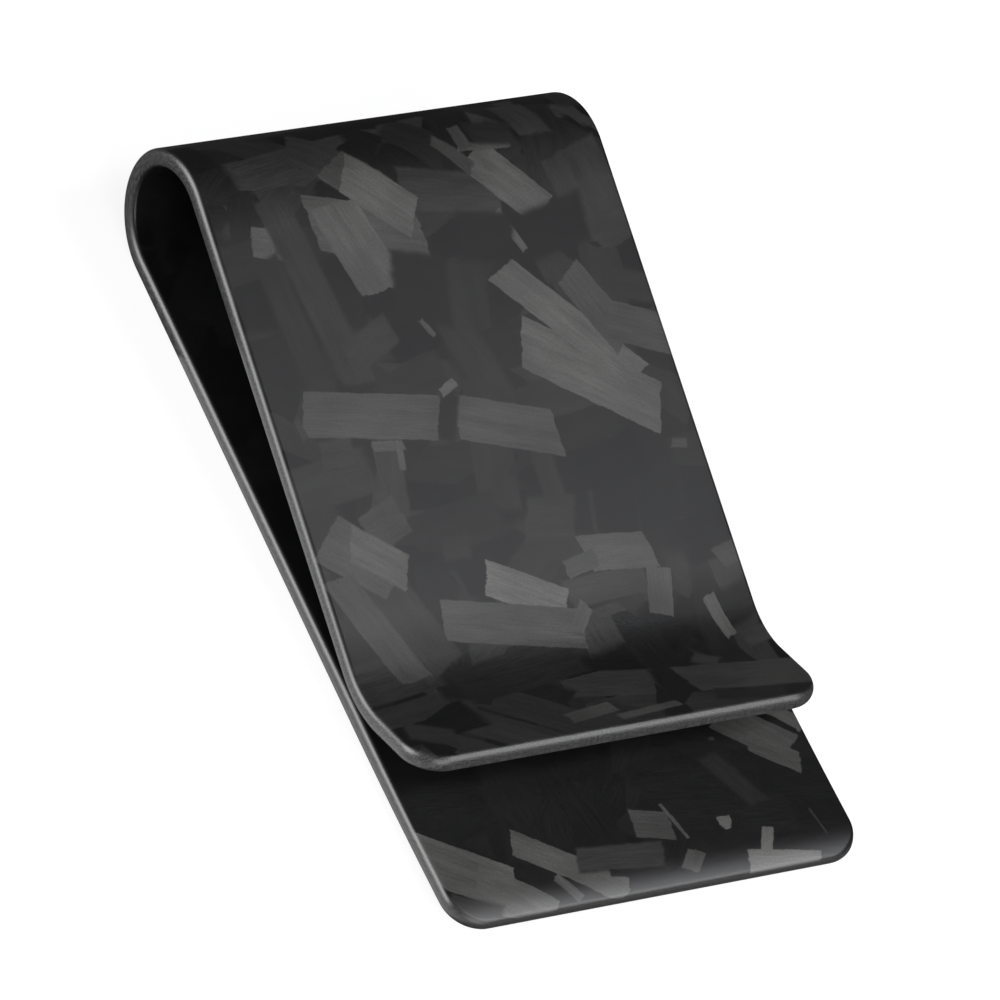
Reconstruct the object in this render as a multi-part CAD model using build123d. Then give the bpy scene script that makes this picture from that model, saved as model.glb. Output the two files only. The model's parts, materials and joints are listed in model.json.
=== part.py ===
from build123d import *
import os
from math import cos, degrees, radians, sin

# ---------------------------------------------------------------------------
# Spring money clip, moulded from one strip of chopped carbon fibre.
#
# Seen from the side the strip is a lying teardrop. A long flat back leaf rolls
# round a spring bow and comes back as a shorter front leaf, which slopes down
# until its grip foot meets the back leaf. Past the foot the strip flares up
# into a thumb lip, so that folded notes slide in under it.
#
# The clip is a single moulding. Its nodes are the working zones of the strip,
# and they meet face to face where the bow starts and ends and where the foot
# starts and ends.
#
# +X runs from the bow to the mouth, +Y across the strip, and +Z up from the
# face that the clip rests on. The origin is under the middle of the clip's
# bounding box. All sizes are in millimetres.
# ---------------------------------------------------------------------------

# Driving dimensions
WIDTH = 38.0             # across the strip
THICKNESS = 1.5          # moulded wall
BOW_RADIUS = 6.15        # outer radius of the spring bow
LEAF_SLOPE = 13.0        # degrees between the front leaf and the back leaf
BACK_LENGTH = 62.5       # back leaf, from the bow to its free end
TOE_LENGTH = 20.0        # stretch at the free end that curves gently upwards
TOE_RISE = 0.6           # height of the free end above the table
FOOT_RADIUS = 7.9        # mid-wall radius of the grip foot
FOOT_TURN = 39.0         # degrees that the foot turns the strip upwards
LIP_LENGTH = 6.6         # straight thumb lip beyond the foot
FOOT_GAP = 0.10          # air under the foot of the closed clip
CORNER_RADIUS = 3.1      # plan corners of both free ends
EDGE_RADIUS = 0.5        # softened rim of the strip

# Derived dimensions
HALF_WALL = THICKNESS / 2
SLOPE = radians(LEAF_SLOPE)
TOE_RADIUS = TOE_LENGTH**2 / (2 * TOE_RISE)
TOE_TURN = degrees(TOE_LENGTH / TOE_RADIUS)
BOW_TURN = 180 + LEAF_SLOPE
# The front leaf is as long as it takes to bring the foot down to its gap.
FOOT_DROP = (
    BOW_RADIUS
    + (BOW_RADIUS - HALF_WALL) * cos(SLOPE)
    - FOOT_RADIUS * (1 - cos(SLOPE))
    - 3 * HALF_WALL
    - FOOT_GAP
)
FRONT_LENGTH = FOOT_DROP / sin(SLOPE)


class Station:
    """Cut across the strip, given by its outer face's point and its heading.

    The strip runs from the back leaf's free end to the thumb lip, with its
    outer face on the left of the heading and its inner face on the right.
    """

    def __init__(self, x, z, heading):
        angle = radians(heading)
        self.heading = heading
        self.outer = Vector(x, z)
        self.along = Vector(cos(angle), sin(angle))
        self.inward = Vector(sin(angle), -cos(angle))
        self.inner = self.outer + self.inward * THICKNESS

    def ahead(self, length):
        """Station at the end of a straight run."""
        end = self.outer + self.along * length
        return Station(end.X, end.Y, self.heading)

    def turned(self, outer_radius, turn):
        """Station at the end of an arc. A positive turn goes to the left."""
        side = 1 if turn > 0 else -1
        centre = self.outer - self.inward * outer_radius * side
        swing = Vector(self.inward.X, self.inward.Y).rotate(Axis.Z, turn)
        end = centre + swing * outer_radius * side
        return Station(end.X, end.Y, self.heading + turn)


class Straight:
    """Flat stretch of the strip."""

    def __init__(self, start, length):
        self.start = start
        self.end = start.ahead(length)

    def edges(self):
        return [
            Line(self.start.outer, self.end.outer),
            Line(self.start.inner, self.end.inner),
        ]


class Bend:
    """Stretch of the strip bent in one arc."""

    def __init__(self, start, outer_radius, turn):
        self.start = start
        self.middle = start.turned(outer_radius, turn / 2)
        self.end = start.turned(outer_radius, turn)

    def edges(self):
        points = (self.start, self.middle, self.end)
        return [
            ThreePointArc(*[point.outer for point in points]),
            ThreePointArc(*[point.inner for point in points]),
        ]


def moulded(stretches, free_end=None):
    """Solid of one zone, with a softened rim and rounded free corners."""
    first, last = stretches[0].start, stretches[-1].end
    profile = [edge for stretch in stretches for edge in stretch.edges()]
    profile += [Line(first.outer, first.inner), Line(last.outer, last.inner)]
    side = Plane.XZ * make_face(profile)
    zone = extrude(side, amount=WIDTH / 2, both=True)
    if free_end:
        end_middle = Vector(free_end.outer.X, 0, free_end.outer.Y)
        uprights = zone.edges().filter_by(is_through_wall)
        zone = fillet(uprights.sort_by_distance(end_middle)[:2], CORNER_RADIUS)
    return fillet(zone.edges().filter_by(is_rim), EDGE_RADIUS)


def is_through_wall(edge):
    """True for the edges that cross the wall from one face to the other."""
    return edge.length < THICKNESS * 1.01


def is_rim(edge):
    """True for the edges round the outer and inner faces.

    It leaves out the edges through the wall, and the ones as long as the
    strip is wide, which lie between two zones or two stretches of one zone.
    """
    across_strip = abs(edge.length - WIDTH) < 0.01
    return not is_through_wall(edge) and not across_strip


def build_zones():
    """The five zones in order along the strip, from toe to lip."""
    toe_tip = Station(BACK_LENGTH, TOE_RISE, 180 + TOE_TURN)
    toe = Bend(toe_tip, TOE_RADIUS, -TOE_TURN)
    back = Straight(toe.end, BACK_LENGTH - TOE_LENGTH)
    bow = Bend(back.end, BOW_RADIUS, -BOW_TURN)
    front = Straight(bow.end, FRONT_LENGTH)
    foot = Bend(front.end, FOOT_RADIUS - HALF_WALL, FOOT_TURN)
    lip = Straight(foot.end, LIP_LENGTH)
    return {
        "back_leaf": moulded([toe, back], free_end=toe_tip),
        "spring_bow": moulded([bow]),
        "front_leaf": moulded([front]),
        "grip_foot": moulded([foot]),
        "thumb_lip": moulded([lip], free_end=lip.end),
    }, [back.end, bow.end]


zones, hinge_lines = build_zones()
extent = Compound(list(zones.values())).bounding_box()
to_origin = Pos(-extent.center().X, -extent.center().Y, -extent.min.Z)

os.makedirs("parts", exist_ok=True)
for name, zone in zones.items():
    export_step(to_origin * zone, f"parts/{name}.step")

print("clip size:", extent.size)
for line in hinge_lines:
    place = to_origin * Pos(line.outer.X, 0, line.outer.Y)
    print("flexure line:", place.position)
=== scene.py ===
import json
from math import cos, pi, radians, sin

import bmesh
import bpy
from mathutils import Matrix, Vector


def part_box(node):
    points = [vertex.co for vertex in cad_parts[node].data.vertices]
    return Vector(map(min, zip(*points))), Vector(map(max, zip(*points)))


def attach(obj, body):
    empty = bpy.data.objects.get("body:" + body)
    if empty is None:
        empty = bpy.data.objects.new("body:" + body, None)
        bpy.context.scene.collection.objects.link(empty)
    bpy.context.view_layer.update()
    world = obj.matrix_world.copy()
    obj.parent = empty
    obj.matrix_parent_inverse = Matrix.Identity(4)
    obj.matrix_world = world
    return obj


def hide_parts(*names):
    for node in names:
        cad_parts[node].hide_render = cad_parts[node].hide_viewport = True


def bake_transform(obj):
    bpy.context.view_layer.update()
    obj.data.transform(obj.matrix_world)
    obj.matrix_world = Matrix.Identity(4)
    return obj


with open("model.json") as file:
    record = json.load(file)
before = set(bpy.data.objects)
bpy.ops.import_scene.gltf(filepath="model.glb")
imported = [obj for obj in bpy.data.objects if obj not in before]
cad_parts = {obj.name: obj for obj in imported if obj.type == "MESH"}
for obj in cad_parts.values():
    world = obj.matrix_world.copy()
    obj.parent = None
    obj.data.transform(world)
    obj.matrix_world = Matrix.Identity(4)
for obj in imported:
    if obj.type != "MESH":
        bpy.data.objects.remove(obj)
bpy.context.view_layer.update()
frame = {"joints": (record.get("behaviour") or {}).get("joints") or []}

MM = 0.001

# ---------------------------------------------------------------------------
# The strip: one wall that runs from the toe, round the bow, to the thumb lip
# ---------------------------------------------------------------------------
JOINTS = {joint["name"]: joint for joint in frame["joints"]}
LOWER_LINE = Vector(JOINTS["bow_flex_lower"]["pos_m"])
BOW_LOW, BOW_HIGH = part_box("spring_bow")
WIDTH = BOW_HIGH.y - BOW_LOW.y
BOW_RADIUS = (BOW_HIGH.z - BOW_LOW.z) / 2

WALL = 1.5 * MM
LEAF_SLOPE = radians(13.0)
BACK_LENGTH = 62.5 * MM
TOE_LENGTH = 20.0 * MM
TOE_RISE = 0.6 * MM
FOOT_RADIUS = 7.9 * MM
FOOT_TURN = radians(39.0)
FOOT_GAP = 0.1 * MM
LIP_LENGTH = 6.6 * MM
CORNER_RADIUS = 3.1 * MM
RIM_INSET = 0.5 * MM        # how far the rounded rim reaches into either face
NOSE_LENGTH = 2.8 * MM      # the toe's upper face eases down over this stretch
NOSE_DROP = 0.62 * MM       # and comes down by this much at the free end
EASE = 1.8 * MM             # shading runs smoothly over this much each side of a bend's end
EASE_STEPS = (-1, -0.6, -0.2, 0.2, 0.6, 1)

HALF_WALL = WALL / 2
BOW_MID_RADIUS = BOW_RADIUS - HALF_WALL
BOW_TURN = pi + LEAF_SLOPE
TOE_MID_RADIUS = TOE_LENGTH**2 / (2 * TOE_RISE) - HALF_WALL
TOE_TURN = TOE_LENGTH / (TOE_MID_RADIUS + HALF_WALL)
# The front leaf is as long as it takes to bring the foot down to its gap.
FOOT_DROP = (
    BOW_RADIUS
    + BOW_MID_RADIUS * cos(LEAF_SLOPE)
    - FOOT_RADIUS * (1 - cos(LEAF_SLOPE))
    - 3 * HALF_WALL
    - FOOT_GAP
)
FRONT_LENGTH = FOOT_DROP / sin(LEAF_SLOPE)

# Stretches in order: name, mid-wall length, turn towards the inner face, steps
STRETCHES = [
    ("toe", TOE_MID_RADIUS * TOE_TURN, TOE_TURN, 10),
    ("flat", BACK_LENGTH - TOE_LENGTH, 0.0, 12),
    ("bow", BOW_MID_RADIUS * BOW_TURN, BOW_TURN, 96),
    ("front", FRONT_LENGTH, 0.0, 12),
    ("foot", FOOT_RADIUS * FOOT_TURN, -FOOT_TURN, 28),
    ("lip", LIP_LENGTH, 0.0, 4),
]


class Strip:
    """The mid-wall line in X and Z, measured from the toe's free end."""

    def __init__(self):
        self.starts, self.turned = {}, {}
        self.length, turned = 0.0, 0.0
        for name, length, turn, _ in STRETCHES:
            self.starts[name], self.turned[name] = self.length, turned
            self.length += length
            turned += turn
        # The toe's end lies where the bow then starts on the lower flexure line.
        self.point = Vector((
            LOWER_LINE.x + BACK_LENGTH - TOE_LENGTH + TOE_MID_RADIUS * sin(TOE_TURN),
            LOWER_LINE.z + HALF_WALL + TOE_MID_RADIUS * (1 - cos(TOE_TURN)),
        ))
        self.along = Vector((-cos(TOE_TURN), -sin(TOE_TURN)))
        self.outward = Vector((sin(TOE_TURN), -cos(TOE_TURN)))

    def at(self, s):
        """Mid-wall point, direction along, outward normal and turn so far."""
        point, along, outward, turned = self.point, self.along, self.outward, 0.0
        for name, length, turn, _ in STRETCHES:
            part = min(max(s - self.starts[name], 0.0), length)
            if turn:
                radius, angle = length / turn, turn * part / length
                ahead, aside = radius * sin(angle), radius * (1 - cos(angle))
                point = point + along * ahead - outward * aside
                along, outward = (
                    along * cos(angle) - outward * sin(angle),
                    outward * cos(angle) + along * sin(angle),
                )
                turned += angle
            else:
                point = point + along * part
        return point, along, outward, turned

    def eased(self, s):
        """Direction along and outward normal at s, averaged over a short stretch."""
        along, outward = Vector((0, 0)), Vector((0, 0))
        for step in EASE_STEPS:
            _, ahead, out, _ = self.at(s + EASE * step)
            along, outward = along + ahead, outward + out
        return along.normalized(), outward.normalized()


STRIP = Strip()
# Where the two halves of the bow meet
CROWN = (STRIP.starts["bow"] + STRIP.starts["front"]) / 2


# ---------------------------------------------------------------------------
# Mesh: a flat blank with a soft rim, cut into zones and bent along the strip
# ---------------------------------------------------------------------------
CORNER_STEPS = 14       # steps round each plan corner
RIM_STEPS = 8           # steps from either face to the middle of the rim
COLUMNS = 8             # columns across the strip
NOSE_STEPS = 12         # steps along the toe's nose
CUT_TOLERANCE = 1e-7    # a cut this close to a vertex goes through it


def outline(inset):
    """Rounded outline of the blank and its outward directions, drawn in by inset."""
    far, side = STRIP.length - CORNER_RADIUS, WIDTH / 2 - CORNER_RADIUS
    corners = [(far, side), (CORNER_RADIUS, side), (CORNER_RADIUS, -side), (far, -side)]
    points = []
    for quarter, corner in enumerate(corners):
        for step in range(CORNER_STEPS + 1):
            angle = pi / 2 * (quarter + step / CORNER_STEPS)
            facing = Vector((cos(angle), sin(angle)))
            points.append((Vector(corner) + facing * (CORNER_RADIUS - inset), facing))
    return points


def rim_rings():
    """Rings over the rounded rim, from the outer to the inner face.

    Each has its inset, its height, how far it faces aside and outward, and
    the way round the rim to it from the nearer face.
    """
    rings, way, last = [], 0.0, None
    for step in range(RIM_STEPS + 1):
        angle = pi / 2 * step / RIM_STEPS
        place = Vector((RIM_INSET * (1 - sin(angle)), HALF_WALL * cos(angle)))
        facing = Vector((HALF_WALL * sin(angle), RIM_INSET * cos(angle))).normalized()
        way += (place - last).length if last else 0.0
        last = place
        rings.append((place.x, place.y, facing.x, facing.y, way))
    lower = [(inset, -height, aside, -out, way) for inset, height, aside, out, way in rings]
    return rings + lower[-2::-1]


def flat_blank():
    """Closed flat blank: x is the distance along, y is across, z is outward."""
    blank = bmesh.new()
    pattern = blank.verts.layers.float_vector.new("pattern")
    facing_layer = blank.verts.layers.float_vector.new("facing")
    rim_layer = blank.verts.layers.float.new("rim")
    loops = []
    for inset, height, aside, out, way in rim_rings():
        loop = []
        for (place, facing), (start, _) in zip(outline(inset), outline(RIM_INSET)):
            vertex = blank.verts.new((place.x, place.y, height))
            unrolled = start + facing * way
            vertex[pattern] = (unrolled.x, unrolled.y, height)
            vertex[facing_layer] = (facing.x * aside, facing.y * aside, out)
            vertex[rim_layer] = aside
            loop.append(vertex)
        loops.append(loop)
    count = len(loops[0])
    for upper, lower in zip(loops, loops[1:]):
        for i in range(count):
            k = (i + 1) % count
            blank.faces.new((upper[i], lower[i], lower[k], upper[k]))
    blank.faces.new(loops[0])
    blank.faces.new(loops[-1][::-1])
    return blank


def cut_blank(blank):
    """Cuts the blank at every station along the strip and into columns across it."""
    stations = {NOSE_LENGTH * step / NOSE_STEPS for step in range(1, NOSE_STEPS)}
    for name, length, _, steps in STRETCHES:
        start = STRIP.starts[name]
        stations |= {start + length * step / steps for step in range(steps)}
    cuts = [((s, 0, 0), (1, 0, 0)) for s in sorted(stations) if s > 0]
    cuts += [((0, WIDTH * (i / COLUMNS - 0.5), 0), (0, 1, 0)) for i in range(1, COLUMNS)]
    for place, normal in cuts:
        everything = blank.verts[:] + blank.edges[:] + blank.faces[:]
        bmesh.ops.bisect_plane(
            blank, geom=everything, dist=CUT_TOLERANCE, plane_co=place, plane_no=normal
        )


def nose(s, height):
    """How far the toe's upper face has eased down at s, and how steeply."""
    if s >= NOSE_LENGTH or height >= 0:
        return 0.0, 0.0
    left = 1 - s / NOSE_LENGTH
    share = -height / HALF_WALL
    return NOSE_DROP * left**2 * share, 2 * NOSE_DROP / NOSE_LENGTH * left * share


def bent_zone(name, blank, start, end, outer, inner):
    """One zone of the blank, from start to end, capped at its cuts and bent along the strip.

    The outer and inner materials are those of its two faces.
    """
    zone = blank.copy()
    outside = [
        face for face in zone.faces if not start < face.calc_center_median().x < end
    ]
    bmesh.ops.delete(zone, geom=outside, context="FACES")
    for face in zone.faces:
        face.smooth = True
        face.material_index = 0 if face.calc_center_median().z >= 0 else 1
    open_edges = [edge for edge in zone.edges if edge.is_boundary]
    bmesh.ops.holes_fill(zone, edges=open_edges, sides=0)
    pattern = zone.verts.layers.float_vector["pattern"]
    facing_layer = zone.verts.layers.float_vector["facing"]
    normals = []
    for vertex in zone.verts:
        s, y, height = vertex.co
        drop, slope = nose(s, height)
        point, _, outward, turned = STRIP.at(s)
        place = point + outward * (height + drop)
        vertex.co = (place.x, y, place.y)
        facing = vertex[facing_layer].normalized()
        ahead, out = STRIP.eased(s)
        normal = ahead * (facing.x + slope * min(facing.z, 0.0)) + out * facing.z
        normals.append(Vector((normal.x, facing.y, normal.y)).normalized())
        # The pattern's own lengths: across, and along either face from the
        # upper flexure line. An outer face is longer round the bow.
        way, across, _ = vertex[pattern]
        way += height * (turned - STRIP.turned["front"]) - STRIP.starts["front"]
        vertex[pattern] = (across / MM, way / MM, height / MM)
    mesh = bpy.data.meshes.new(name)
    zone.to_mesh(mesh)
    zone.free()
    corner_normals = []
    for face in mesh.polygons:
        smooth = face.use_smooth
        corner_normals += [normals[i] if smooth else face.normal for i in face.vertices]
    mesh.normals_split_custom_set(corner_normals)
    mesh.attributes.remove(mesh.attributes["facing"])
    mesh.materials.append(outer)
    mesh.materials.append(inner)
    piece = bpy.data.objects.new(name, mesh)
    bpy.context.scene.collection.objects.link(piece)
    return piece


# ---------------------------------------------------------------------------
# Material: chopped carbon fibre tows pressed in resin, rubbed to a satin
# ---------------------------------------------------------------------------
class Graph:
    """Adds nodes to one tree. An input takes a number, a vector or a socket."""

    def __init__(self, tree):
        self.tree = tree

    def add(self, kind, inputs, **settings):
        node = self.tree.nodes.new(kind)
        for key, value in settings.items():
            setattr(node, key, value)
        for key, value in inputs.items():
            if isinstance(value, bpy.types.NodeSocket):
                self.tree.links.new(value, node.inputs[key])
            else:
                node.inputs[key].default_value = value
        return node

    def group(self, tree, inputs):
        """Adds a group node and gives its outputs by name."""
        node = self.add("ShaderNodeGroup", inputs, node_tree=tree)
        return {socket.name: socket for socket in node.outputs}

    def math(self, operation, *values):
        return self.add("ShaderNodeMath", dict(enumerate(values)), operation=operation).outputs[0]

    def vector(self, operation, *values):
        inputs = dict(enumerate(values))
        return self.add("ShaderNodeVectorMath", inputs, operation=operation).outputs[0]

    def scaled(self, vector, x, y, z=1.0):
        return self.vector("MULTIPLY", vector, (x, y, z))

    def fade(self, value, start, end, low=0.0, high=1.0):
        """Smooth step from low at start to high at end."""
        inputs = {0: value, 1: start, 2: end, 3: low, 4: high}
        kind = "ShaderNodeMapRange"
        return self.add(kind, inputs, interpolation_type="SMOOTHSTEP").outputs[0]

    def mix(self, share, first, second):
        return self.add("ShaderNodeMix", {0: share, 2: first, 3: second}).outputs[0]

    def mix_colour(self, share, first, second):
        inputs = {0: share, 6: first, 7: second}
        return self.add("ShaderNodeMix", inputs, data_type="RGBA").outputs[2]

    def noise(self, vector, scale, detail=2.0):
        inputs = {"Vector": vector, "Scale": scale, "Detail": detail}
        return self.add("ShaderNodeTexNoise", inputs).outputs[0]

    def turned(self, vector, angle):
        inputs = {"Vector": vector, "Angle": angle}
        kind = "ShaderNodeVectorRotate"
        return self.add(kind, inputs, rotation_type="Z_AXIS").outputs[0]

    def dot(self, first, second):
        inputs = {0: first, 1: second}
        kind = "ShaderNodeVectorMath"
        return self.add(kind, inputs, operation="DOT_PRODUCT").outputs["Value"]


def new_group(name, inputs, outputs):
    """Node group with its sockets, given as (name, type) pairs."""
    group = bpy.data.node_groups.new(name, "ShaderNodeTree")
    for socket, kind in inputs:
        group.interface.new_socket(socket, in_out="INPUT", socket_type="NodeSocket" + kind)
    for socket, kind in outputs:
        group.interface.new_socket(socket, in_out="OUTPUT", socket_type="NodeSocket" + kind)
    entry = group.nodes.new("NodeGroupInput")
    leave = group.nodes.new("NodeGroupOutput")
    return group, Graph(group), entry.outputs, leave.inputs


# What one chip hands to the next above it: how bright the tow is, and its direction.
# A listed chip's brightness is partly the tow's own tone and partly painted sheen and shade.
TOW_STATE = [("Tone", "Float"), ("Grain", "Float")]
BASE_GRAIN = 0.3        # direction of the tows under all the chips, in radians

# Chips: their lengths are in millimetres on the strip
LAYER_LENGTH = 13.0     # pitch of the scattered chips
LAYER_WIDTH = 4.2
CELL_EDGE = 0.49        # a scattered chip fades out here, in shares of its pitch
CELL_CORE = 0.41        # and is full from here inwards
END_FRAY = 0.9          # how raggedly the tows are chopped
SIDE_FRAY = 0.35
FRAY_NOISE = {"Scale": 0.9, "Detail": 5.0, "Roughness": 0.65}
END_SLANT = 0.30        # the most that a chip's ends slant
SLANT_STEP = 2.4        # from one chip to the next, so that their slants differ
CRISP_EDGE = 0.06       # the least that a chip's edge fades, to each side
SOFT_EDGE = 0.50        # a black chip's edge fades over this, a brighter one's over less
THIN_CHIP = 3           # a thin chip's edge fades over its half width divided by this
ACCENT_DIM = 0.6        # an accent layer's dimmest chip, as a share of its brightest

# Noises: repeats per millimetre, and octaves of detail
FIBRE_SCALE = (0.5, 12.0)       # along and across the tow
BUNDLE_SCALE = (0.12, 1.1)
CLOUD_SCALE = 0.16
GRIT_SCALE = 5.0
SKIN_SCALE = 2.6
FINE_DETAIL = 4.0
SKIN_DETAIL = 3.0
SLICE_STEP = 61.0               # the noise's slices for tones 0 and 1 lie this far apart
NOISE_RANGE = (0.3, 0.7)        # where most of a noise's values lie
FIBRE_RANGE = (0.28, 0.72)

# How much each noise darkens and lightens the tows
FIBRE_SHADE = (0.84, 1.16)
BUNDLE_SHADE = (0.88, 1.12)
CLOUD_SHADE = (0.85, 1.15)
GRIT_SHADE = (0.9, 1.1)
TONE_CURVE = 1.5                # bright tows stand out more than dim ones

# Surface: the rim is 0 on a face and 1 at the middle of the strip's edge
RIM_RAGGED = 0.3                # how much grit shifts the line where the rim starts
RIM_START = (0.78, 1.02)        # rim and grit together, where a face turns into the rim
RUBBED_RANGE = (0.35, 0.7)      # grit on the rim, from dark to rubbed pale
SATIN_ROUGHNESS = (0.36, 0.43)
RIM_ROUGHNESS = (0.33, 0.42)
RIM_RISE = (0.2, 0.9)           # over this part of the rim the grit's relief grows
GRIT_RELIEF = (0.3, 0.6)        # the grit's relief beside the skin's, before and after
RELIEF_STRENGTH = 0.2
RELIEF_DEPTH = 0.02 * MM
RESIN_IOR = 1.5
DARKEST_TOW = (0.002, 0.0021, 0.0023, 1.0)
LIGHTEST_TOW = (0.113, 0.112, 0.107, 1.0)
RIM_DARK = (0.013, 0.013, 0.014, 1.0)
RIM_LIGHT = (0.045, 0.045, 0.045, 1.0)


def make_chip_group():
    """One tow chip laid over what is there: a frayed rectangle of one fibre direction."""
    inputs = [
        ("Place", "Vector"), ("End Fray", "Float"), ("Side Fray", "Float"), *TOW_STATE,
        ("Centre", "Vector"), ("Along", "Vector"), ("Across", "Vector"), ("Turn", "Float"),
        ("Half Length", "Float"), ("Half Width", "Float"), ("Softness", "Float"),
        ("Chip Tone Sheen And Shade", "Float"),
    ]
    group, graph, entry, leave = new_group("tow_chip", inputs, TOW_STATE)
    offset = graph.vector("SUBTRACT", entry["Place"], entry["Centre"])
    outside = []
    for axis, half, fray in (
        ("Along", "Half Length", "End Fray"), ("Across", "Half Width", "Side Fray")
    ):
        distance = graph.math("ABSOLUTE", graph.dot(offset, entry[axis]))
        distance = graph.math("SUBTRACT", distance, entry[half])
        outside.append(graph.math("ADD", distance, entry[fray]))
    edge = graph.math("DIVIDE", graph.math("MAXIMUM", *outside), entry["Softness"])
    cover = graph.fade(edge, 1.0, -1.0)
    # The chip's tone covers what lies beneath; it is partly the tow's own tone and partly painted
    # sheen and shade.
    graph.tree.links.new(graph.mix(cover, entry["Tone"], entry["Chip Tone Sheen And Shade"]), leave["Tone"])
    graph.tree.links.new(graph.mix(cover, entry["Grain"], entry["Turn"]), leave["Grain"])
    return group


def make_layer_group():
    """A scattering of chips of one direction, each with a tone of its own."""
    inputs = [
        ("Place", "Vector"), ("Fray", "Vector"), *TOW_STATE, ("Turn", "Float"),
        ("Shift", "Vector"), ("Share", "Float"), ("Dark", "Float"), ("Light", "Float"),
    ]
    group, graph, entry, leave = new_group("tow_layer", inputs, TOW_STATE)
    shifted = graph.vector("ADD", entry["Place"], entry["Shift"])
    local = graph.turned(shifted, graph.math("MULTIPLY", entry["Turn"], -1.0))
    frayed = graph.vector("ADD", local, entry["Fray"])
    cells = graph.add(
        "ShaderNodeTexVoronoi",
        {"Vector": graph.scaled(frayed, 1 / LAYER_LENGTH, 1 / LAYER_WIDTH), "Scale": 1.0},
        voronoi_dimensions="2D", distance="CHEBYCHEV",
    )
    presence = graph.dot(cells.outputs["Color"], (1.0, 0.0, 0.0))
    shade = graph.dot(cells.outputs["Color"], (0.0, 1.0, 0.0))
    inside = graph.fade(cells.outputs["Distance"], CELL_EDGE, CELL_CORE)
    present = graph.math("LESS_THAN", presence, entry["Share"])
    cover = graph.math("MULTIPLY", inside, present)
    tone = graph.mix(shade, entry["Dark"], entry["Light"])
    graph.tree.links.new(graph.mix(cover, entry["Tone"], tone), leave["Tone"])
    graph.tree.links.new(graph.mix(cover, entry["Grain"], entry["Turn"]), leave["Grain"])
    return group


def make_finish_group():
    """Colour, roughness and relief of the pressed tows and of the rubbed rim."""
    inputs = [("Place", "Vector"), *TOW_STATE, ("Rim", "Float")]
    outputs = [("Colour", "Color"), ("Roughness", "Float"), ("Normal", "Vector")]
    group, graph, entry, leave = new_group("tow_finish", inputs, outputs)
    tone = entry["Tone"]
    local = graph.turned(entry["Place"], graph.math("MULTIPLY", entry["Grain"], -1.0))
    # Each chip takes its own slice of the noise, so that no streak runs on.
    slice_at = graph.math("MULTIPLY", tone, SLICE_STEP)
    slice_offset = graph.add("ShaderNodeCombineXYZ", {2: slice_at}).outputs[0]
    local = graph.vector("ADD", local, slice_offset)
    fibres = graph.noise(graph.scaled(local, *FIBRE_SCALE), 1.0, FINE_DETAIL)
    bundles = graph.noise(graph.scaled(local, *BUNDLE_SCALE), 1.0)
    clouds = graph.noise(entry["Place"], CLOUD_SCALE)
    grit = graph.noise(entry["Place"], GRIT_SCALE, FINE_DETAIL)
    shade = graph.math("POWER", tone, TONE_CURVE)
    for noise, span, swing in (
        (fibres, FIBRE_RANGE, FIBRE_SHADE),
        (bundles, NOISE_RANGE, BUNDLE_SHADE),
        (clouds, NOISE_RANGE, CLOUD_SHADE),
        (grit, NOISE_RANGE, GRIT_SHADE),
    ):
        shade = graph.math("MULTIPLY", shade, graph.fade(noise, *span, *swing))
    tows = graph.mix_colour(shade, DARKEST_TOW, LIGHTEST_TOW)
    rubbed = graph.fade(grit, *RUBBED_RANGE)
    rim_colour = graph.mix_colour(rubbed, RIM_DARK, RIM_LIGHT)
    ragged = graph.math("ADD", entry["Rim"], graph.math("MULTIPLY", grit, RIM_RAGGED))
    rim = graph.fade(ragged, *RIM_START)
    colour = graph.mix_colour(rim, tows, rim_colour)
    satin = graph.fade(fibres, *NOISE_RANGE, *SATIN_ROUGHNESS)
    rim_satin = graph.fade(grit, *NOISE_RANGE, *RIM_ROUGHNESS)
    roughness = graph.mix(rim, satin, rim_satin)
    # The relief leaves the chips' own grain out: resin fills it, and a bump
    # that read every chip three times over would be too big for the shader.
    skin = graph.noise(entry["Place"], SKIN_SCALE, SKIN_DETAIL)
    gritty = graph.fade(entry["Rim"], *RIM_RISE, *GRIT_RELIEF)
    height = graph.math("MULTIPLY_ADD", gritty, grit, skin)
    relief = {"Strength": RELIEF_STRENGTH, "Distance": RELIEF_DEPTH, "Height": height}
    bump = graph.add("ShaderNodeBump", relief)
    graph.tree.links.new(colour, leave["Colour"])
    graph.tree.links.new(roughness, leave["Roughness"])
    graph.tree.links.new(bump.outputs[0], leave["Normal"])
    return group


CHIP_GROUP = make_chip_group()
LAYER_GROUP = make_layer_group()
FINISH_GROUP = make_finish_group()

# Scattered layers: direction in degrees, shift, share of places taken
LAYERS = [
    (78, (3.1, 11.7, 0), 0.75),
    (12, (17.3, 5.9, 0), 0.60),
    (-38, (29.7, 21.1, 0), 0.50),
    (47, (41.9, 33.3, 0), 0.55),
    (100, (57.1, 2.3, 0), 0.45),
    (-8, (71.3, 47.7, 0), 0.40),
]


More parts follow.
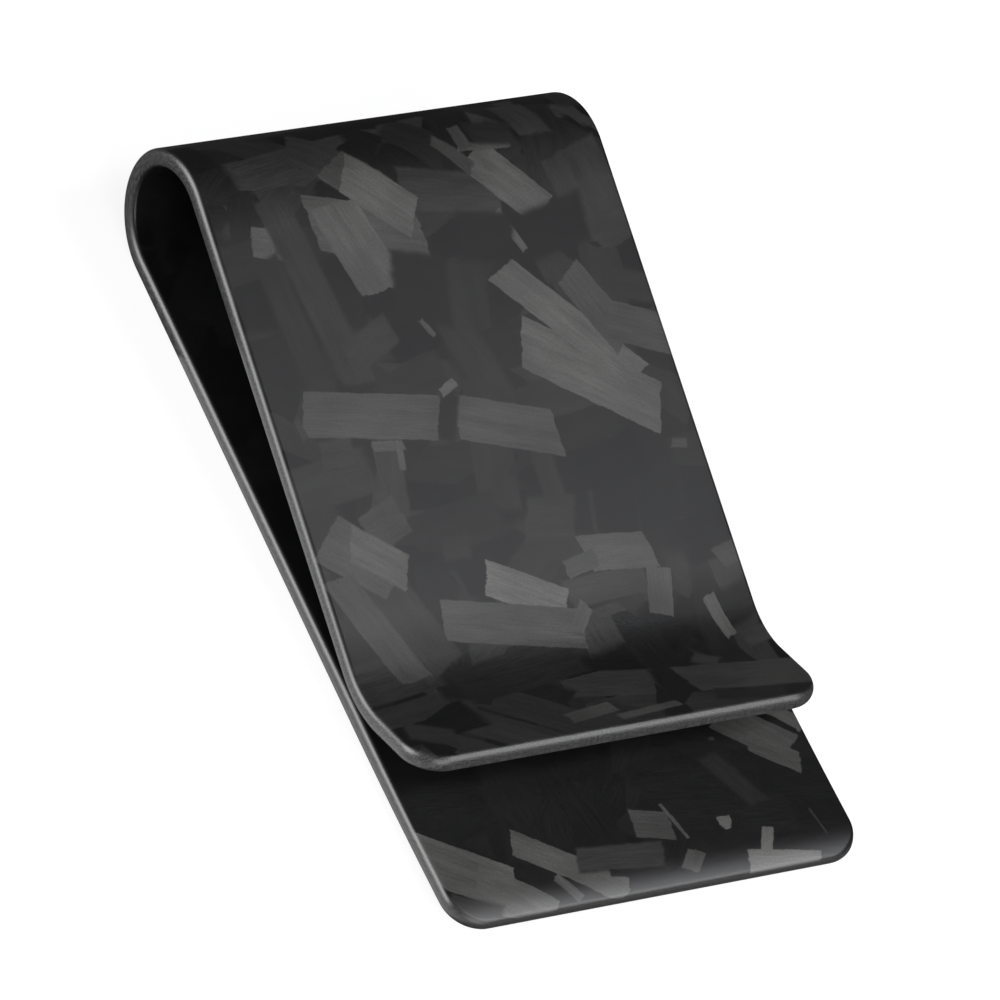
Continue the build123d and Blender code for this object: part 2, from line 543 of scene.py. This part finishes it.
def forged_carbon(name, chips, dark, light, accents=()):
    """Material of one face of the strip: scattered tows, then the chips on top.

    The scattered tows' tones lie between dark and light. Accents are layers of
    brighter scattered chips.
    """
    material = bpy.data.materials.new(name)
    material.use_nodes = True
    graph = Graph(material.node_tree)
    shader = material.node_tree.nodes["Principled BSDF"]
    pattern = graph.add("ShaderNodeAttribute", {}, attribute_name="pattern").outputs["Vector"]
    rim = graph.add("ShaderNodeAttribute", {}, attribute_name="rim").outputs["Fac"]
    place = graph.scaled(pattern, 1.0, 1.0, 0.0)
    ragged = graph.add("ShaderNodeTexNoise", {"Vector": place, **FRAY_NOISE})
    centred = graph.vector("SUBTRACT", ragged.outputs["Color"], (0.5, 0.5, 0.5))
    end_fray = graph.dot(centred, (END_FRAY, 0.0, 0.0))
    side_fray = graph.dot(centred, (0.0, SIDE_FRAY, 0.0))
    fray = graph.scaled(centred, END_FRAY, SIDE_FRAY, 0.0)

    state = {"Tone": dark, "Grain": BASE_GRAIN}
    scattered = [(*layer, dark, light) for layer in LAYERS]
    scattered += [(*layer, tone * ACCENT_DIM, tone) for *layer, tone in accents]
    for degrees, shift, share, dimmest, brightest in scattered:
        state = graph.group(LAYER_GROUP, {
            "Place": place, "Fray": fray, **state, "Turn": radians(degrees),
            "Shift": shift, "Share": share, "Dark": dimmest, "Light": brightest,
        })
    # Listed chips on top: each chip's tone is partly the tow's own and partly painted sheen and
    # shade.
    for number, (across, along, degrees, half_length, half_width, tone) in enumerate(chips):
        turn = radians(degrees)
        slant = END_SLANT * sin(SLANT_STEP * number)
        softness = min(max(CRISP_EDGE, SOFT_EDGE - tone), half_width / THIN_CHIP)
        state = graph.group(CHIP_GROUP, {
            "Place": place, "End Fray": end_fray, "Side Fray": side_fray, **state,
            "Centre": (across, along, 0), "Turn": turn,
            "Along": (cos(turn) - slant * sin(turn), sin(turn) + slant * cos(turn), 0),
            "Across": (-sin(turn), cos(turn), 0),
            "Half Length": half_length, "Half Width": half_width, "Softness": softness,
            "Chip Tone Sheen And Shade": tone,
        })

    finish = graph.group(FINISH_GROUP, {"Place": place, **state, "Rim": rim})
    for output, socket in (
        ("Colour", "Base Color"), ("Roughness", "Roughness"), ("Normal", "Normal")
    ):
        graph.tree.links.new(finish[output], shader.inputs[socket])
    shader.inputs["IOR"].default_value = RESIN_IOR
    return material


# Chips seen on the outer face of the bow, front leaf and lip, lowest first.
# Each has its place across the strip and along it from the bow's end, its
# direction in degrees, its half length and half width, and how bright it is:
# partly the tow's own tone, partly painted sheen that its fibre direction
# catches, and dimmer on the bow and foot as painted shade.
FRONT_CHIPS = [
    (-14.0, 4.6, 14, 1.6, 1.3, 0.58),
    (-11.4, 9.0, 80, 8.0, 1.5, 0.26),
    (-14.2, 11.0, 83, 5.2, 1.2, 0.20),
    (-8.0, 13.8, -25, 2.6, 1.3, 0.28),
    (3.4, 2.5, 12, 4.5, 1.8, 0.30),
    (15.8, 3.2, 80, 3.0, 2.9, 0.28),
    (12.5, -3.2, 75, 2.0, 1.5, 0.30),
    (17.4, 12.4, 15, 1.8, 1.3, 0.22),
    (-14.0, 22.2, 0, 1.5, 1.2, 0.28),
    (-6.2, 31.2, 0, 1.3, 0.9, 0.20),
    (0.8, 16.0, 72, 5.5, 1.6, 0.22),
    (3.0, 30.0, 5, 2.2, 1.8, 0.25),
    (6.0, 36.2, -3, 3.8, 1.2, 0.30),
    (-12.5, 36.5, 66, 4.5, 2.2, 0.28),
    (4.0, 26.8, 90, 2.3, 1.0, 0.22),
    (-5.0, 4.6, 14, 5.0, 2.3, 0.50),
    (-6.3, 5.9, 73, 4.0, 2.2, 0.60),
    (-1.9, 10.0, 14, 2.5, 3.0, 0.10),
    (-6.6, -1.4, 41, 3.4, 1.8, 0.29),
    (-4.6, 0.3, 42, 2.4, 1.8, 0.44),
    (-3.0, 1.9, 42, 3.4, 1.8, 0.68),
    (-2.5, 13.2, 60, 0.9, 0.25, 0.50),
    (8.8, 2.3, 49, 3.6, 1.7, 0.62),
    (4.8, -0.6, 48, 2.0, 0.6, 0.38),
    (7.9, -0.9, 3, 2.4, 0.35, 0.50),
    (6.1, -2.0, 85, 1.2, 0.6, 0.40),
    (9.0, -2.0, 10, 2.0, 1.1, 0.18),
    (11.5, 6.7, -12, 3.5, 2.0, 0.08),
    (7.8, 6.4, 68, 1.9, 0.35, 0.62),
    (5.3, 6.6, 8, 2.5, 2.1, 0.10),
    (17.2, -2.8, 45, 1.9, 0.45, 0.28),
    (10.8, 19.1, 34, 6.4, 2.2, 0.65),
    (10.3, 14.55, 48, 6.9, 1.5, 0.66),
    (13.3, 13.6, 63, 3.6, 1.5, 0.45),
    (16.7, 15.9, 22, 3.0, 1.7, 0.45),
    (-10.0, 19.6, 9.5, 6.0, 1.9, 0.50),
    (1.7, 22.0, 17, 4.6, 1.9, 0.50),
    (-3.1, 20.6, 115, 2.2, 0.7, 0.14),
    (-2.4, 18.3, -25, 0.9, 0.4, 0.65),
    (-9.3, 22.2, 5, 1.4, 0.4, 0.50),
    (-8.5, 23.1, 100, 1.2, 0.3, 0.50),
    (-16.5, 19.8, 80, 0.9, 0.3, 0.30),
    (-11.8, 28.4, -22, 1.9, 1.6, 0.38),
    (-14.8, 30.7, 38, 3.3, 2.3, 0.50),
    (-13.3, 31.0, 38, 2.6, 1.5, 0.63),
    (-15.5, 36.6, 66, 5.0, 1.4, 0.42),
    (-1.3, 35.6, 28, 3.6, 1.5, 0.78),
    (-3.4, 38.0, 12, 6.2, 1.7, 0.50),
    (2.9, 38.3, -50, 1.1, 0.6, 0.55),
    (8.0, 33.6, 5, 3.1, 1.5, 0.51),
    (4.3, 34.1, -12, 1.6, 0.75, 0.45),
    (10.6, 37.3, 105, 2.0, 1.1, 0.50),
    (18.0, 35.2, -15, 1.3, 0.9, 0.38),
    (17.3, 39.3, -20, 2.2, 1.5, 0.10),
    (15.1, 40.2, 80, 1.9, 0.6, 0.60),
    (17.8, 42.4, -10, 1.6, 0.8, 0.33),
    (16.7, 25.7, 10, 0.7, 0.4, 0.40),
    (13.8, 47.0, 8, 5.5, 1.8, 0.35),
    (12.0, 49.4, 14, 2.6, 0.8, 0.17),
    (-1.8, 48.3, -8, 2.3, 0.7, 0.43),
    (-16.0, 47.5, 30, 2.0, 1.2, 0.22),
    (11.6, 44.2, 30, 1.1, 0.7, 0.30),
    (3.0, 49.3, -5, 3.0, 0.4, 0.40),
]

# Chips on the back leaf's inner face, placed across the strip and along it
# from the bow's start towards the toe, with directions turned the same way.
# Their last column, how bright each is, is partly the tow's own tone and partly painted sheen.
TOE_CHIPS = [
    (-16.5, 57.8, 34, 4.0, 2.2, 0.60),
    (-13.0, 61.0, 40, 3.5, 1.8, 0.60),
    (-17.0, 61.0, 25, 2.2, 0.9, 0.25),
    (-7.2, 59.0, 37, 5.0, 1.2, 0.60),
    (-9.8, 58.9, 38, 1.3, 0.25, 0.05),
    (-8.2, 60.7, 55, 1.3, 0.4, 0.50),
    (-9.8, 60.0, 70, 1.4, 0.3, 0.05),
    (-2.6, 59.0, 5, 3.9, 1.15, 0.30),
    (-2.9, 60.4, 10, 1.3, 0.3, 0.05),
    (1.5, 56.7, 15, 1.7, 1.3, 0.45),
    (3.5, 56.7, 74, 1.8, 0.18, 0.55),
    (3.5, 60.4, -48, 1.0, 0.75, 0.50),
    (7.8, 57.7, 0, 0.6, 0.6, 0.70),
    (8.6, 58.1, -55, 1.1, 0.35, 0.05),
    (7.0, 58.1, 60, 1.1, 0.35, 0.05),
    (10.4, 54.0, 62, 2.8, 0.9, 0.18),
    (10.6, 60.0, -62, 1.4, 0.5, 0.70),
    (11.5, 62.3, 10, 3.3, 1.4, 0.70),
    (14.3, 50.2, 40, 3.2, 1.6, 0.50),
    (15.2, 52.3, 38, 2.3, 1.0, 0.50),
    (17.8, 49.5, 45, 1.7, 0.7, 0.55),
    (17.2, 50.0, 45, 1.3, 0.2, 0.05),
    (10.4, 50.2, 0, 0.3, 0.15, 0.30),
    (15.9, 59.0, 80, 1.2, 0.1, 0.25),
]
# Along the inner face, the bow's start lies this far before the upper line.
INNER_BOW = (BOW_MID_RADIUS - HALF_WALL) * BOW_TURN / MM
BACK_CHIPS = [
    (across, -INNER_BOW - along, -degrees, half_length, half_width, tone)
    for across, along, degrees, half_length, half_width, tone in TOE_CHIPS
]

# Brighter scattered chips, for a face with no chips of its own: as LAYERS, and how bright
ACCENTS = [
    (28, (5.7, 61.3, 0), 0.22, 0.55),
    (-52, (37.1, 9.7, 0), 0.18, 0.65),
    (70, (83.3, 27.9, 0), 0.16, 0.50),
]

FRONT_FACE = forged_carbon("forged_front", FRONT_CHIPS, dark=0.05, light=0.30)
# The inner faces take a darker copy of the same tows: painted shade on the clip's inner faces.
SHADED_INNER_FACE = forged_carbon("forged_back_painted_shade", BACK_CHIPS, dark=0.0, light=0.09)
PLAIN_FACE = forged_carbon("forged_plain", [], dark=0.05, light=0.30, accents=ACCENTS)


def carried(piece, body, node):
    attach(piece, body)
    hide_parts(node)


def bending(piece, node):
    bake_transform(piece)
    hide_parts(node)


def make_pieces():
    """Cuts the six visible pieces from one blank, so that they meet without a gap."""
    blank = flat_blank()
    cut_blank(blank)
    starts = STRIP.starts

    back = bent_zone("back_leaf_wall", blank, 0, starts["bow"], PLAIN_FACE, SHADED_INNER_FACE)
    carried(back, "back", "back_leaf")
    zones = [
        ("front_leaf_wall", "front", "foot", "front_leaf"),
        ("grip_foot_wall", "foot", "lip", "grip_foot"),
        ("thumb_lip_wall", "lip", None, "thumb_lip"),
    ]
    for name, first, last, node in zones:
        end = starts[last] if last else STRIP.length
        zone = bent_zone(name, blank, starts[first], end, FRONT_FACE, PLAIN_FACE)
        carried(zone, "front", node)

    # The bow is cut into two halves, which meet at the crown.
    lower = bent_zone("bow_lower", blank, starts["bow"], CROWN, PLAIN_FACE, SHADED_INNER_FACE)
    bending(
        lower, "spring_bow"
    )
    upper = bent_zone("bow_upper", blank, CROWN, starts["front"], FRONT_FACE, SHADED_INNER_FACE)
    bending(
        upper, "spring_bow"
    )
    blank.free()


make_pieces()


# ---------------------------------------------------------------------------
# Stage: pale floor, soft lights, and the camera
# ---------------------------------------------------------------------------
TARGET = Vector((-1.6, 1.7, 2.1)) * MM
CAMERA_DISTANCE = 841.5 * MM
CAMERA_AZIMUTH = radians(37.06)
CAMERA_ELEVATION = radians(47.66)
CAMERA_ROLL = radians(35.0)
CAMERA_LENS = 387.9         # lens and sensor in millimetres
CAMERA_SENSOR = 36.0
FLOOR_SIZE = 6.0
FLOOR_CLEARANCE = 0.02 * MM
FLOOR_GREY = 0.28
FLOOR_GLOW = 0.78           # keeps the shadows on the floor pale
CARD_START = -20 * MM       # along X, so that the bow's rim stays dark
CARD_LENGTH = 120 * MM
CARD_WIDTH = 100 * MM
CARD_GLOW = 1.0
SHEET_ROUGHNESS = 0.9
DIM_AROUND = (0.03, 0.03, 0.032, 1)
WHITE = (1, 1, 1, 1)

# Softboxes: name, direction from the clip, distance, width and height in metres,
# radiance and colour
SOFTBOXES = [
    ("leaf_glow", (0.29, 0.42, 0.84), 0.4, 0.15, 0.15, 9.8, (0.96, 0.97, 1.01)),
    ("lip_glow", (0.66, 0.37, 0.56), 0.22, 0.11, 0.11, 6.5, (1, 1, 1)),
    ("side_key", (-0.41, -0.88, 0.24), 0.6, 0.5, 0.40, 11.0, (1, 1, 1)),
    ("mouth_light", (0.88, -0.12, 0.42), 0.6, 0.4, 0.4, 5.0, (1, 1, 1)),
]


def make_sheet(name, x_middle, y_middle, length, width, grey, glow):
    """Matt glowing sheet that lies just under the clip."""
    mesh = bpy.data.meshes.new(name)
    corners = [
        (x_middle + x * length / 2, y_middle + y * width / 2, -FLOOR_CLEARANCE)
        for x, y in ((-1, -1), (1, -1), (1, 1), (-1, 1))
    ]
    mesh.from_pydata(corners, [], [(0, 1, 2, 3)])
    material = bpy.data.materials.new(name)
    material.use_nodes = True
    shader = material.node_tree.nodes["Principled BSDF"]
    shader.inputs["Base Color"].default_value = (grey, grey, grey, 1)
    shader.inputs["Emission Color"].default_value = WHITE
    shader.inputs["Emission Strength"].default_value = glow
    shader.inputs["Roughness"].default_value = SHEET_ROUGHNESS
    shader.inputs["Specular IOR Level"].default_value = 0.0
    mesh.materials.append(material)
    sheet = bpy.data.objects.new(name, mesh)
    bpy.context.scene.collection.objects.link(sheet)
    return sheet


def make_floor():
    """Pale floor that the clip's satin skin doesn't mirror, so that the bow stays dark."""
    floor = make_sheet("floor", 0, 0, FLOOR_SIZE, FLOOR_SIZE, FLOOR_GREY, FLOOR_GLOW)
    floor.visible_glossy = False


def make_card():
    """White card beside the clip, seen only as the pale reflection in its near rim."""
    x_middle = CARD_START + CARD_LENGTH / 2
    y_middle = -(WIDTH + CARD_WIDTH) / 2
    card = make_sheet("card", x_middle, y_middle, CARD_LENGTH, CARD_WIDTH, FLOOR_GREY, CARD_GLOW)
    card.visible_camera = False
    card.visible_diffuse = False
    card.visible_shadow = False


def make_softbox(name, direction, distance, width, height, radiance, colour):
    """Rectangular light that faces the clip from this direction."""
    light = bpy.data.lights.new(name, "AREA")
    light.shape = "RECTANGLE"
    light.size, light.size_y = width, height
    light.energy = radiance * pi * width * height
    light.color = colour
    softbox = bpy.data.objects.new(name, light)
    towards = Vector(direction).normalized()
    softbox.location = TARGET + towards * distance
    softbox.rotation_euler = towards.to_track_quat("Z", "Y").to_euler()
    softbox.visible_camera = False
    bpy.context.scene.collection.objects.link(softbox)


def make_world():
    """Dim surroundings for the light, pale where the camera sees past the floor."""
    world = bpy.data.worlds.new("surroundings")
    world.use_nodes = True
    graph = Graph(world.node_tree)
    background = world.node_tree.nodes["Background"]
    seen = graph.add("ShaderNodeLightPath", {}).outputs["Is Camera Ray"]
    colour = graph.mix_colour(seen, DIM_AROUND, WHITE)
    graph.tree.links.new(colour, background.inputs["Color"])
    bpy.context.scene.world = world


def make_camera():
    """Camera at the photo's angle.

    Azimuth 0 looks along +Y, and the roll turns the picture clockwise.
    """
    azimuth, elevation, roll = CAMERA_AZIMUTH, CAMERA_ELEVATION, CAMERA_ROLL
    backward = Vector((
        cos(elevation) * sin(azimuth), -cos(elevation) * cos(azimuth), sin(elevation)
    ))
    level = Vector((cos(azimuth), sin(azimuth), 0))
    upright = backward.cross(level)
    right = level * cos(roll) + upright * sin(roll)
    up = upright * cos(roll) - level * sin(roll)
    camera = bpy.data.objects.new("camera", bpy.data.cameras.new("camera"))
    turn = Matrix((right, up, backward)).transposed()
    camera.matrix_world = Matrix.Translation(TARGET + backward * CAMERA_DISTANCE) @ turn.to_4x4()
    camera.data.lens = CAMERA_LENS
    camera.data.sensor_width = CAMERA_SENSOR
    bpy.context.scene.collection.objects.link(camera)
    bpy.context.scene.camera = camera


make_floor()
make_card()
make_world()
make_camera()
for softbox in SOFTBOXES:
    make_softbox(*softbox)
bpy.context.scene.view_settings.view_transform = "Standard"
